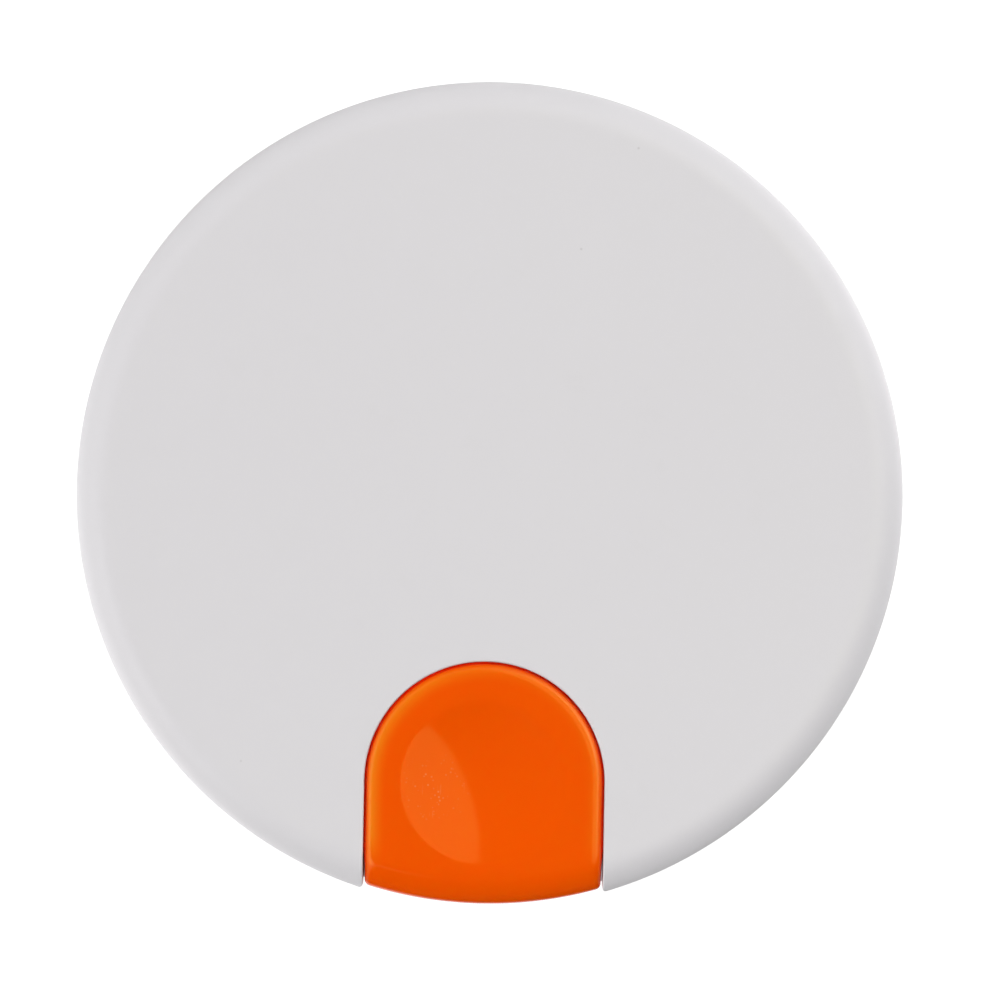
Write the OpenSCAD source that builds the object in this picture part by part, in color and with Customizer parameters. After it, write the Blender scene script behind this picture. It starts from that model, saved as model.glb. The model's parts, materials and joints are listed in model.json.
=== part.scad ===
// Flip-lid ice fishing tip-up: a round insulated hole cover that holds its own line spool.
// Row frame: +Z up, origin at the middle of the foam ring's face, the thumb key towards -Y.
// A fish turns the spool, the spool's dog swings the trip lever, the lever rocks the thumb key,
// and the key lets the sprung lid tip up to show its signal panel.

/* [Case] */
// Outside diameter of the lid
lid_d = 200; // [199:0.5:203]
// Height of the lid's top face above the ice
case_h = 38; // [38:0.5:40]
// Wall thickness of the moulded shells
wall = 2.5; // [2.2:0.1:2.7]
// Radius that rounds the lid's top edge
lid_round = 8; // [7:0.5:8.5]
// Radius that rounds the base's bottom edge
base_round = 6; // [5.5:0.5:6.5]
// How far the lid's rim stands out past the base's
overhang = 1.6; // [1.4:0.1:1.8]
// Height of the base's rim
rim_z = 21; // [21:0.1:21.2]
// Gap between the base's rim and the lid's
rim_gap = 0.4; // [0.3:0.1:0.5]
// Depth of the foam ring under the base
foam_h = 4; // [3.5:0.5:4]

/* [Thumb key] */
// Width of the thumb key
key_w = 57; // [56.4:0.2:57.4]
// Distance from the case's centre to the centre of the key's round end
key_arch_y = 69.2; // [68.9:0.1:69.4]
// Gap between the key and the lid round it
key_gap = 0.7; // [0.7:0.1:0.9]
// How far the key's outer end stands back from the lid's rim
key_setback = 1; // [0.8:0.1:1.2]
// Diameter of the thumb dish
dish_d = 41.5; // [34:0.5:42]
// Depth of the thumb dish
dish_depth = 3; // [2:0.1:3.2]

/* [Spool] */
// Diameter of the spool's flanges
flange_d = 90; // [86:1:90]
// Diameter of the spool's core
core_d = 40; // [36:1:44]
// Diameter over the wound line
wound_d = 76; // [60:1:78]
// Diameter of the line
line_d = 1.2; // [0.8:0.1:1.4]
// Number of windows in the upper flange
windows = 8; // [6:1:9]

/* [Hidden] */
$fn = 72;

over = 1;             // how far a cutter runs past the face it cuts
slip = 0.05;          // radial clearance of a turning fit

// Case heights and radii
lid_r = lid_d / 2;
base_r = lid_r - overhang;
floor_z = foam_h - 1;             // underside of the base, with the foam let in by 1 mm
inner_z = floor_z + wall;         // inside face of the base's floor
lid_z = rim_z + rim_gap;          // lower edge of the lid
ceiling_z = case_h - wall;        // inside face of the lid's top

// Foam ring
foam_in_r = 78;
foam_out_r = 91;

// Rim seal
seal_in_r = 94;
seal_w = 1.8;
seal_depth = 1;

// Thumb key and its well
key_hw = key_w / 2;
notch_hw = key_hw + key_gap;
swing_room = 0.3;                 // the base's well is wider than the lid's notch, for the key's swing
well_hw = notch_hw + swing_room;
well_wall = 2.2;
key_wall = 2.4;
key_z = 14;                       // lower edge of the key's skirt
key_top_t = 6;                    // thickness of the key's top outside the dish
key_edge = 1.2;                   // radius along the key's top edge
lid_edge = 0.7;                   // radius along the lid's edge beside the key
key_lip = 0.38;                   // step along the key's sides that narrows the gap below the top
lip_low = 24;
lip_drop = 1.7;                    // how far the step's top lies below the key's top
key_out_r = lid_r - key_setback;
skirt_wall_r = lid_r - 4.9;       // outer face of the base's wall behind the key's skirt
skirt_wall_hw = 25;               // half width of that wall, between the key's sides
ledge_z = 8.5;                    // floor of the travel gap under the key's skirt
pivot = [0, -54, 20];             // middle of the key's pin
pin_r = 1.5;
pin_half = 16;
ear_x = 7;                        // inner face of the base's ear
ear_t = 4;
rib_x = 12;                       // inner face of the key's rib
rib_t = 3.5;
lug_r = 4;
tongue_hw = 10;                   // half width of the lid's catch tongue
tongue_z = 29.2;
tongue_h = 3.6;
tongue_reach = 2.2;
window_low = 2;                   // room under the tongue for the key's rise
tail_hw = 2.5;
tail_t = 2;
tail_play = 0.8;                  // room round the tail in the trip lever's slot
tail_y = -key_arch_y + key_hw - key_wall;
key_spring_y = -82;
key_spring_r = 3.85;
key_wire_r = 0.35;
post_r = 2.6;

// Hinge, a short barrel at the back that stays inside the lid's outline
hinge_y = 95;
hinge_z = 19.5;
barrel_r = 2.5;
hinge_pin_r = 1.2;
lid_knuckle = 6;                  // half width of the lid's knuckle
base_knuckle = [12.8, 20];        // inner and outer face of the base's knuckles
bay_hw = 32;
bay_y = 88;
bay_z = 12.4;
bay_wall = 2;
hinge_wire_r = 0.3;

// Spool on its axle
spool_at = [0, 27, 0];
flange_t = 1.8;
low_flange_z = 11;
high_flange_z = 22.8;
spool_top = high_flange_z + flange_t;
spool_z = 9.2;
axle_r = 3;
thread_r = 2.5;
bush_r = 4.5;
axle_boss_z = 8.2;
shoulder_z = 27;
drag_z = 28.1;                    // underside of the drag knob
knob_top = 31;
window_r = 4.5;
window_at = 31;
knob_at = 36;
knob_a = 30;
knob_pin_r = 1.6;

// Trip lever and the spool's dog
lever_at = [10, -36];
lever_z = 8.6;
lever_t = 3;
lever_w = 6;
shoulder_r = 2;
tip_r = 1.3;
tip_clear = 0.9;
tip_x = 16;
tip_ring = flange_d / 2 + tip_clear + tip_r;
tip_at = [tip_x, spool_at[1] - sqrt(pow(tip_ring, 2) - pow(tip_x, 2))];
slot_at = [0, tail_y + tail_t / 2];
dog_a = 215;
dog_in = 36;
dog_out = flange_d / 2 + 1.8;
dog_z = 8.8;

// Fairlead, line keeper and hook block in the tray
fairlead_at = [-50, -14];
fairlead_r = 3.5;
fairlead_wall = 1.6;
fairlead_lip = 2.6;
fairlead_low = 1.9;
fairlead_high = 6.9;
mouth_r = 0.8;
keeper_at = [-78, -22];
keeper_r = 1.5;
line_z = [17.8, 14];              // heights of the line at the spool and at the keeper
block_at = [56, -10];
block_size = [18, 44, 11.5];

// Lid lining
boss_at = 76;
boss_a = [35, 145, 215, 325];
boss_r = 3;
boss_h = 2.5;
screw_r = 1.25;
panel_r = 86;
panel_t = 1.2;
lining_cut = notch_hw + well_wall + 0.9;

function unit(v) = v / norm(v);
function polar(r, a) = [r * cos(a), r * sin(a)];

// Points of a coil about +Z
function coil(r, turns, height, steps) =
    [for (i = [0 : turns * steps])
        [r * cos(360 * i / steps), r * sin(360 * i / steps), height * i / (turns * steps)]];

// One closed tube along a list of points, with the given reference axis
module tube(path, r, sides, ref) {
    last = len(path) - 1;
    rings = [for (i = [0 : last])
        let (t = unit(path[min(i + 1, last)] - path[max(i - 1, 0)]),
             n = unit(cross(t, ref)),
             b = cross(t, n))
        for (k = [0 : sides - 1])
            path[i] + r * (cos(360 * k / sides) * n + sin(360 * k / sides) * b)];
    walls = [for (i = [0 : last - 1]) for (k = [0 : sides - 1]) for (half = [0, 1])
        let (m = (k + 1) % sides, a = i * sides, b = a + sides)
        half == 0 ? [a + k, b + m, a + m] : [a + k, b + k, b + m]];
    first_cap = [[for (k = [0 : sides - 1]) k]];
    last_cap = [[for (k = [0 : sides - 1]) last * sides + sides - 1 - k]];
    polyhedron(rings, concat(walls, first_cap, last_cap));
}

module ring(r_in, r_out, low, high)
    rotate_extrude() translate([r_in, low]) square([r_out - r_in, high - low]);

// Disc section with its top outer corner rounded
module top_rounded(r, low, high, round) {
    translate([0, low]) square([r - round, high - low]);
    translate([0, low]) square([r, high - low - round]);
    translate([r - round, high - round]) circle(round);
}

// Disc section with its bottom outer corner rounded
module bottom_rounded(r, low, high, round) {
    translate([0, low]) square([r - round, high - low]);
    translate([0, low + round]) square([r, high - low - round]);
    translate([r - round, low + round]) circle(round);
}

// Half of the section drawn by children swept along the key's outline: round end, then straight sides
module key_sweep(length = 45)
    translate([0, -key_arch_y, 0]) {
        rotate_extrude(angle = 180) children();
        rotate([90, 0, 0]) linear_extrude(length) {
            children();
            mirror([1, 0]) children();
        }
    }

module key_prism(hw, low, high)
    key_sweep() translate([0, low]) square([hw, high - low]);

// Cylinder along X
module cross_bar(r, half, y, z)
    translate([-half, y, z]) rotate([0, 90, 0]) cylinder(r = r, h = 2 * half);

// Both sides of the mid plane
module both_sides() {
    children();
    mirror([1, 0, 0]) children();
}

// Flat bar between two points, with round ends
module bar(p, q, w) {
    d = q - p;
    translate(p) rotate(atan2(d[1], d[0])) translate([0, -w / 2]) square([norm(d), w]);
    translate(p) circle(w / 2);
    translate(q) circle(w / 2);
}

module base_outside()
    rotate_extrude() bottom_rounded(base_r, floor_z, rim_z, base_round);

module base_inside()
    rotate_extrude() bottom_rounded(base_r - wall, inner_z, rim_z + over, base_round - wall);

// The hollow that the key sits in, less the wall and the ledge behind the key's skirt
module key_well()
    difference() {
        key_prism(well_hw, inner_z, case_h);
        intersection() {
            ring(skirt_wall_r - well_wall, skirt_wall_r, floor_z, rim_z - 1);
            translate([-skirt_wall_hw, -lid_d, 0]) cube([2 * skirt_wall_hw, lid_d, case_h]);
        }
        ring(skirt_wall_r - well_wall, lid_r + over, floor_z, ledge_z);
    }

module hinge_bay()
    translate([-bay_hw, bay_y, bay_z]) cube([2 * bay_hw, lid_r, case_h]);

module base_shell() color("whitesmoke") {
    boss_z = inner_z - over;
    difference() {
        union() {
            difference() {
                base_outside();
                base_inside();
            }
            intersection() {
                base_outside();
                union() {
                    ring(seal_in_r - 1, base_r, rim_z - 3.5, rim_z);
                    key_prism(well_hw + well_wall, inner_z - over, rim_z);
                    translate([-bay_hw - bay_wall, bay_y - bay_wall, bay_z - bay_wall])
                        cube([2 * (bay_hw + bay_wall), lid_r, rim_z]);
                }
            }
            translate([spool_at[0], spool_at[1], boss_z]) cylinder(r = 7, h = axle_boss_z - boss_z);
            translate([lever_at[0], lever_at[1], boss_z]) cylinder(r = 4.5, h = lever_z - 0.3 - boss_z);
            translate([keeper_at[0], keeper_at[1], boss_z]) cylinder(r = 4, h = 3.5);
        }
        key_well();
        hinge_bay();
        seal_groove();
        foam_groove();
        lever_window();
        axle_hole();
        translate([lever_at[0], lever_at[1], floor_z + 1]) cylinder(r = 1.5, h = lever_z);
        translate([keeper_at[0], keeper_at[1], floor_z + 1]) cylinder(r = keeper_r, h = lever_z);
        translate([fairlead_at[0], fairlead_at[1], 0])
            cylinder(r = fairlead_r + fairlead_wall, h = rim_z);
    }
    both_sides() base_ear();
    both_sides() base_knuckle();
    translate([0, key_spring_y, boss_z]) cylinder(r = post_r, h = 4.5);
}

module seal_groove()
    ring(seal_in_r, seal_in_r + seal_w, rim_z - seal_depth, rim_z + over);

module foam_groove()
    ring(foam_in_r - 0.3, foam_out_r + 0.3, 0, foam_h);

// Openings in the well's wall for the trip lever and for the key's tail
module lever_window() {
    translate([-11, -46, lever_z - 0.3]) cube([28, 16, 7]);
    translate([-4.5, -46, inner_z]) cube([9, 10, lever_z - inner_z]);
}

module axle_hole()
    translate(spool_at) {
        cylinder(r = axle_r, h = rim_z);
        cylinder(r = 5.3, h = floor_z + 2.3);
    }

// Ear that carries the key's pin
module base_ear()
    difference() {
        union() {
            translate([ear_x, pivot[1] - lug_r, inner_z - over])
                cube([ear_t, 2 * lug_r, pivot[2] - inner_z + over]);
            translate([ear_x, pivot[1], pivot[2]]) rotate([0, 90, 0]) cylinder(r = lug_r, h = ear_t);
        }
        cross_bar(pin_r, pin_half + over, pivot[1], pivot[2]);
    }

// Hinge knuckle on a block that stands in the bay
module base_knuckle() {
    w = base_knuckle[1] - base_knuckle[0];
    difference() {
        union() {
            translate([base_knuckle[0], hinge_y, hinge_z]) rotate([0, 90, 0]) cylinder(r = barrel_r, h = w);
            translate([base_knuckle[0], bay_y - 1, bay_z - 1])
                cube([w, hinge_y - 0.5 - bay_y + 1, rim_z - bay_z + 1]);
        }
        cross_bar(hinge_pin_r, base_knuckle[1] + over, hinge_y, hinge_z);
    }
}

module foam_ring() color("dimgray")
    rotate_extrude() {
        round = 1.2;
        translate([foam_in_r, round]) square([foam_out_r - foam_in_r, foam_h - round]);
        translate([foam_in_r + round, 0]) square([foam_out_r - foam_in_r - 2 * round, foam_h]);
        translate([foam_in_r + round, round]) circle(round);
        translate([foam_out_r - round, round]) circle(round);
    }

// Seal strip along one side of the rim, from the key's well to the hinge bay
module rim_seal() color("darkslategray")
    difference() {
        ring(seal_in_r, seal_in_r + seal_w, rim_z - seal_depth, lid_z - 0.05);
        translate([-lid_d, -lid_d, 0]) cube([lid_d + well_hw + well_wall, 2 * lid_d, lid_d]);
        translate([0, 0, 0]) cube([bay_hw + bay_wall, lid_d, lid_d]);
    }

// Flanged bush that guides the line through the floor
module fairlead() color("silver") {
    out_r = fairlead_r + fairlead_wall;
    translate([fairlead_at[0], fairlead_at[1], 0]) rotate_extrude() {
        difference() {
            union() {
                translate([fairlead_r, fairlead_low])
                    square([fairlead_wall, fairlead_high - fairlead_low]);
                for (z = [fairlead_low, inner_z])
                    translate([out_r, z]) square([fairlead_lip, z == inner_z
                        ? fairlead_high - inner_z : floor_z - fairlead_low]);
            }
            translate([fairlead_r, fairlead_low]) mouth_corner();
            translate([fairlead_r, fairlead_high]) mirror([0, 1]) mouth_corner();
        }
    }
}

// Corner that a mouth's radius removes
module mouth_corner()
    difference() {
        translate([-over, -over]) square(mouth_r + over);
        translate([mouth_r, mouth_r]) circle(mouth_r);
    }

// Foam block with slits for hook points
module hook_block() color("dimgray")
    translate([block_at[0], block_at[1], inner_z]) difference() {
        cube(block_size);
        for (i = [1 : 4])
            translate([-over, block_size[1] * i / 5 - 0.5, block_size[2] - 6])
                cube([block_size[0] + 2 * over, 1, 7]);
    }

module spool_axle() color("silver")
    translate([spool_at[0], spool_at[1], 0]) {
        translate([0, 0, floor_z + 0.3]) cylinder(r = 5, h = 2);
        translate([0, 0, floor_z + 0.3]) cylinder(r = axle_r, h = shoulder_z - floor_z - 0.3);
        translate([0, 0, shoulder_z - over]) cylinder(r = thread_r, h = knob_top - shoulder_z + over - 0.4);
    }

module thrust_washer() color("ivory")
    translate(spool_at) ring(axle_r + slip, 6.5, axle_boss_z, spool_z - 0.05);

module drag_washer() color("silver")
    translate(spool_at) ring(axle_r + slip, 7.5, spool_top + 0.1, spool_top + 1.1);

module drag_spring() color("silver")
    translate([spool_at[0], spool_at[1], spool_top + 1.55])
        tube(coil(4.6, 1.5, drag_z - spool_top - 2.1, 16), 0.35, 8, [0, 0, 1]);

module hinge_pin() color("silver")
    cross_bar(hinge_pin_r, base_knuckle[1], hinge_y, hinge_z);

// Torsion spring on the hinge pin, with a leg that bears on the bay's wall
module hinge_spring() color("silver") {
    coil_r = 1.9;
    turns = 7;
    margin = 0.6;
    path = [for (p = coil(coil_r, turns, base_knuckle[0] - lid_knuckle - 2 * margin, 12))
        [lid_knuckle + margin + p[2], hinge_y + p[1], hinge_z - p[0]]];
    leg = [base_knuckle[0] - margin, bay_y + 0.1, hinge_z - coil_r];
    tube(concat(path, [leg]), hinge_wire_r, 6, [1, 0, 0.02]);
}

module key_pin() color("silver")
    cross_bar(pin_r, pin_half, pivot[1], pivot[2]);

module key_spring() color("silver") {
    low = inner_z + key_wire_r;
    high = case_h - key_top_t - key_wire_r;
    translate([0, key_spring_y, low]) tube(coil(key_spring_r, 8, high - low, 14), key_wire_r, 6, [0, 0, 1]);
}

module lever_screw() color("silver")
    translate([lever_at[0], lever_at[1], 0]) {
        top = lever_z + lever_t + 0.3;
        translate([0, 0, floor_z + 1]) cylinder(r = 1.5, h = lever_z - floor_z);
        translate([0, 0, lever_z - 0.3]) cylinder(r = shoulder_r, h = lever_t + 0.6);
        difference() {
            translate([0, 0, top]) cylinder(r = 3.8, h = 2);
            translate([-over / 2, -5, top + 1.1]) cube([over, 10, 2]);
        }
    }

module line_keeper() color("silver")
    translate([keeper_at[0], keeper_at[1], 0]) {
        translate([0, 0, floor_z + 1]) cylinder(r = keeper_r, h = 13.5);
        translate([0, 0, 17]) cylinder(r1 = keeper_r, r2 = 3, h = 1);
        translate([0, 0, 18]) cylinder(r = 3, h = 0.8);
    }

// The line leaves the winding along the tangent that runs to the keeper
centre = [spool_at[0], spool_at[1]];
run_r = wound_d / 2 + line_d / 2 + 0.4;
to_keeper = keeper_at - centre;
leave_a = atan2(to_keeper[1], to_keeper[0]) - acos(run_r / norm(to_keeper));
leave_at = centre + polar(run_r, leave_a);
run_dir = unit(keeper_at - leave_at);
swivel_l = 13;
run_end = keeper_at - swivel_l * run_dir;

module line_run() color("darkolivegreen") {
    steps = 6;
    path = [for (i = [0 : steps])
        let (p = leave_at + (run_end - leave_at) * i / steps)
        [p[0], p[1], line_z[0] + (line_z[1] - line_z[0]) * i / steps]];
    tube(path, line_d / 2, 8, [0, 0, 1]);
    translate([run_end[0], run_end[1], line_z[1]]) sphere(r = line_d * 0.85);
}

// Barrel swivel whose far ring loops over the keeper
module line_swivel() color("goldenrod")
    translate([keeper_at[0], keeper_at[1], line_z[1]])
        rotate(atan2(-run_dir[1], -run_dir[0])) {
            rotate_extrude() translate([2.7, 0]) circle(0.45);
            translate([3, 0, 0]) rotate([0, 90, 0]) cylinder(r = 0.6, h = 2);
            translate([4.4, 0, 0]) rotate([0, 90, 0]) cylinder(r = 1.6, h = 5);
            translate([9, 0, 0]) rotate([0, 90, 0]) cylinder(r = 0.6, h = 1.2);
            translate([swivel_l - 1.6, 0, 0]) rotate([90, 0, 0])
                rotate_extrude() translate([1.6, 0]) circle(0.4);
        }

module lid_outside()
    rotate_extrude() top_rounded(lid_r, lid_z, case_h, lid_round);

module lid_inside()
    rotate_extrude() top_rounded(lid_r - wall, lid_z - over, ceiling_z, lid_round - wall);

// Cutter for the key's notch; its top flares to round the lid's edge
module key_notch()
    key_sweep() {
        translate([0, lid_z - over]) square([notch_hw, case_h]);
        translate([notch_hw, case_h - lid_edge]) difference() {
            square([lid_edge, lid_edge + over]);
            translate([lid_edge, 0]) circle(lid_edge);
        }
    }

module lid_bosses(r, low, high)
    for (a = boss_a)
        translate(concat(polar(boss_at, a), [low])) cylinder(r = r, h = high - low);

module lid_shell() color("whitesmoke") {
    difference() {
        union() {
            difference() {
                lid_outside();
                lid_inside();
            }
            intersection() {
                lid_outside();
                union() {
                    ring(seal_in_r - 0.5, lid_r, lid_z, lid_z + 2);
                    key_prism(notch_hw + well_wall, lid_z, ceiling_z + over);
                }
            }
            lid_bosses(boss_r, ceiling_z - boss_h, ceiling_z + over);
            cross_bar(barrel_r, lid_knuckle, hinge_y, hinge_z);
            translate([-lid_knuckle, hinge_y - barrel_r, hinge_z])
                cube([2 * lid_knuckle, 2 * barrel_r, lid_z + 1 - hinge_z]);
        }
        key_notch();
        lid_bosses(screw_r, ceiling_z - boss_h - over, case_h - 1);
        both_sides() translate([lid_knuckle + 0.01, hinge_y, hinge_z])
            rotate([0, 90, 0]) cylinder(r = barrel_r + 0.4, h = base_knuckle[1] - lid_knuckle + 1);
        cross_bar(hinge_pin_r + slip, lid_knuckle + over, hinge_y, hinge_z);
    }
    catch_tongue();
}

// Short lip on the notch's round end that the key's top holds down
module catch_tongue()
    intersection() {
        translate([0, -key_arch_y, 0])
            ring(notch_hw - tongue_reach, notch_hw + well_wall / 2, tongue_z, tongue_z + tongue_h);
        translate([-tongue_hw, -key_arch_y, 0]) cube([2 * tongue_hw, key_w, case_h]);
    }

// Disc with the key's notch and the boss holes cut out
module lining(r, low, high, hole)
    difference() {
        translate([0, 0, low]) cylinder(r = r, h = high - low);
        key_prism(lining_cut, low - over, high + over);
        lid_bosses(hole, low - over, high + over);
    }

module lid_insulation() color("dimgray")
    lining(panel_r + 1, ceiling_z - boss_h + 0.1, ceiling_z - 0.1, boss_r + 0.3);

module signal_panel() color("orangered")
    lining(panel_r, ceiling_z - boss_h - panel_t, ceiling_z - boss_h, screw_r + 0.2);

// Cross-head screw through the signal panel into one of the lid's bosses
module panel_screw(i) color("silver") {
    z = ceiling_z - boss_h - panel_t;
    head = 1.3;
    translate(concat(polar(boss_at, boss_a[i]), [z])) difference() {
        union() {
            translate([0, 0, -head]) cylinder(r = 2.6, h = head);
            translate([0, 0, -head / 2]) cylinder(r = screw_r, h = boss_h + panel_t + head);
        }
        translate([0, 0, -head]) {
            cube([3.2, 0.8, 1.4], center = true);
            cube([0.8, 3.2, 1.4], center = true);
        }
    }
}

// Section of the key's outside, rounded along its top edge
module key_section() {
    translate([0, key_z]) square([key_hw - key_edge, case_h - key_z]);
    translate([0, key_z]) square([key_hw, case_h - key_z - key_edge]);
    translate([key_hw - key_edge, case_h - key_edge]) circle(key_edge);
    translate([0, lip_low]) square([key_hw + key_lip, case_h - lip_drop - lip_low]);
}

module catch_key() color("#f25a05") {
    dish_r = (pow(dish_d / 2, 2) + pow(dish_depth, 2)) / (2 * dish_depth);
    under = case_h - key_top_t;
    difference() {
        intersection() {
            key_sweep() key_section();
            rotate_extrude() top_rounded(key_out_r, key_z, case_h, lid_round);
        }
        intersection() {
            key_prism(key_hw - key_wall, key_z - over, under);
            translate([0, 0, key_z - over])
                cylinder(r = key_out_r - key_wall, h = under - key_z + over);
        }
        translate([0, -key_arch_y, case_h - dish_depth + dish_r]) sphere(r = dish_r, $fn = 200);
        translate([-tongue_hw - 1, tail_y - over, tongue_z - window_low])
            cube([2 * tongue_hw + 2, key_wall + 2 * over, tongue_h + window_low + 0.4]);
    }
    both_sides() key_rib();
    translate([-tail_hw, tail_y, inner_z + 1]) cube([2 * tail_hw, tail_t, key_z - inner_z]);
    translate([0, key_spring_y, under - 4]) cylinder(r = post_r, h = 4 + over);
}

// Rib under the key's top that turns on the key's pin
module key_rib()
    difference() {
        union() {
            translate([rib_x, pivot[1] - lug_r, pivot[2]])
                cube([rib_t, 2 * lug_r, case_h - key_top_t - pivot[2] + over]);
            translate([rib_x, pivot[1], pivot[2]]) rotate([0, 90, 0]) cylinder(r = lug_r, h = rib_t);
        }
        cross_bar(pin_r + slip, pin_half + over, pivot[1], pivot[2]);
    }

// Flat lever: a slotted end round the key's tail, a hub on its screw, and a tip by the spool
module trip_lever() color("goldenrod")
    translate([0, 0, lever_z]) difference() {
        union() {
            linear_extrude(lever_t) {
                bar(lever_at, tip_at - [0, 2], 4);
                bar(lever_at, slot_at + [4, 0.5], lever_w);
                translate(lever_at) circle(5);
                translate(slot_at - [7.5, 4]) square([15, 8]);
            }
            translate(concat(tip_at, [0])) cylinder(r = tip_r, h = lever_t);
        }
        translate(concat(lever_at, [-over])) cylinder(r = shoulder_r + slip, h = lever_t + 2 * over);
        translate([slot_at[0] - tail_hw - 1.6, slot_at[1] - tail_t / 2 - tail_play, -over])
            cube([2 * tail_hw + 3.2, tail_t + 2 * tail_play, lever_t + 2 * over]);
    }

module spool() color("lightslategray")
    translate(spool_at) difference() {
        union() {
            translate([0, 0, low_flange_z]) cylinder(d = flange_d, h = flange_t);
            translate([0, 0, high_flange_z]) cylinder(d = flange_d, h = flange_t);
            translate([0, 0, low_flange_z]) cylinder(d = core_d, h = spool_top - low_flange_z);
            translate([0, 0, spool_z]) cylinder(r = 8, h = spool_top - spool_z);
        }
        difference() {
            ring(10, core_d / 2 - 2, low_flange_z + flange_t, spool_top + over);
            for (i = [0 : 5])
                rotate(i * 60) translate([9, -0.8, low_flange_z]) cube([core_d / 2, 1.6, 11]);
        }
        for (i = [0 : windows - 1])
            translate(concat(polar(window_at, knob_a + 360 * (i + 0.5) / windows), [high_flange_z - over]))
                cylinder(r = window_r, h = flange_t + 2 * over);
        translate([0, 0, spool_z - over]) cylinder(r = bush_r, h = spool_top);
        translate(concat(polar(knob_at, knob_a), [high_flange_z - over]))
            cylinder(r = knob_pin_r, h = flange_t + 2 * over);
        translate(concat(polar(dog_in + 4, dog_a), [low_flange_z - over]))
            cylinder(r = 1.2, h = flange_t + 2 * over);
    }

module spool_bush() color("darkgoldenrod")
    translate(spool_at) ring(axle_r + slip, bush_r, spool_z, spool_top);

// Wound line, a little fuller in the middle
module line_winding() color("darkolivegreen") {
    low = low_flange_z + flange_t + 0.1;
    high = high_flange_z - 0.1;
    crown = 0.8;
    edge_r = wound_d / 2 - crown;
    crown_r = (pow((high - low) / 2, 2) + pow(crown, 2)) / (2 * crown);
    translate(spool_at) rotate_extrude() {
        translate([core_d / 2 + 0.1, low]) square([edge_r - core_d / 2 - 0.1, high - low]);
        intersection() {
            translate([edge_r - 2, low]) square([crown + 3, high - low]);
            translate([wound_d / 2 - crown_r, (low + high) / 2]) circle(crown_r);
        }
    }
}

// Brass dog under the lower flange; its nose reaches past the rim
module trip_dog() color("goldenrod")
    translate([spool_at[0], spool_at[1], dog_z]) rotate(dog_a) difference() {
        union() {
            translate([dog_in, -3, 0]) cube([flange_d / 2 - dog_in, 6, low_flange_z - dog_z]);
            translate([dog_in, -1.5, 0]) cube([dog_out - dog_in, 3, low_flange_z - dog_z]);
        }
        translate([dog_in + 4, 0, -over]) cylinder(r = 1.2, h = 5);
    }

module dog_screw() color("silver")
    translate([spool_at[0], spool_at[1], 0]) rotate(dog_a) translate([dog_in + 4, 0, 0]) {
        translate([0, 0, dog_z - 1.1]) cylinder(r = 2.4, h = 1.1);
        translate([0, 0, dog_z - over]) cylinder(r = 1.2, h = low_flange_z + flange_t - dog_z + over - 0.1);
    }

module knob_pin() color("silver")
    translate(spool_at) translate(concat(polar(knob_at, knob_a), [0])) {
        translate([0, 0, high_flange_z + 0.1]) cylinder(r = knob_pin_r, h = 7.6);
        translate([0, 0, 30]) cylinder(r = 2.6, h = 0.8);
    }

module winding_knob() color("#f25a05")
    translate(spool_at) translate(concat(polar(knob_at, knob_a), [0])) difference() {
        rotate_extrude() {
            translate([0, spool_top + 0.2]) square([5.5, 1]);
            translate([0, spool_top + 0.2]) square([4.2, 5]);
            translate([0, spool_top + 3.7]) square([5, 1.5]);
        }
        translate([0, 0, spool_top]) cylinder(r = knob_pin_r + slip, h = 10);
    }

// Scalloped thumb nut
module drag_knob() color("#f25a05")
    translate([spool_at[0], spool_at[1], drag_z]) difference() {
        cylinder(r = 9.5, h = knob_top - drag_z);
        for (i = [0 : 7])
            translate(concat(polar(11, 45 * i), [-over])) cylinder(r = 2.6, h = 10);
        translate([0, 0, -over]) cylinder(r = thread_r + slip, h = 10);
    }

base_shell();
foam_ring();
mirror([1, 0, 0]) rim_seal();  // rim_seal_left
rim_seal();  // rim_seal_right
fairlead();
hook_block();
spool_axle();
thrust_washer();
drag_washer();
drag_spring();
hinge_pin();
mirror([1, 0, 0]) hinge_spring();  // hinge_spring_left
hinge_spring();  // hinge_spring_right
key_pin();
key_spring();
lever_screw();
line_keeper();
line_swivel();
line_run();
lid_shell();
lid_insulation();
signal_panel();
panel_screw(0);  // panel_screw_1
panel_screw(1);  // panel_screw_2
panel_screw(2);  // panel_screw_3
panel_screw(3);  // panel_screw_4
catch_key();
trip_lever();
spool();
spool_bush();
line_winding();
trip_dog();
dog_screw();
knob_pin();
winding_knob();
drag_knob();
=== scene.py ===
"""Looks for the flip-lid ice fishing tip-up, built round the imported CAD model.

Everything is in metres in the CAD frame: +Z up, the thumb key towards -Y, the lid's hinge towards +Y.
Each section models one group of pieces, and the sections at the end set the floor, lights and camera.
"""
import json
import math

import bmesh
import bpy
from mathutils import Matrix, Vector


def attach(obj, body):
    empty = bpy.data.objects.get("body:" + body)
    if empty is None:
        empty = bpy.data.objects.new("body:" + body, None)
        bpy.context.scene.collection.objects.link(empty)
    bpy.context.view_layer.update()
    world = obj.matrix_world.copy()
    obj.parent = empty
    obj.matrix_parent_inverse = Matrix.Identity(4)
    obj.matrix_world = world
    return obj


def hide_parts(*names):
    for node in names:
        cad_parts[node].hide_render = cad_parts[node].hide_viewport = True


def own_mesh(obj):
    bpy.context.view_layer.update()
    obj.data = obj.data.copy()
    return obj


MM = 0.001
AXIS = 0.02                       # radius at which a turned piece closes, as a loop can't be a point

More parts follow.
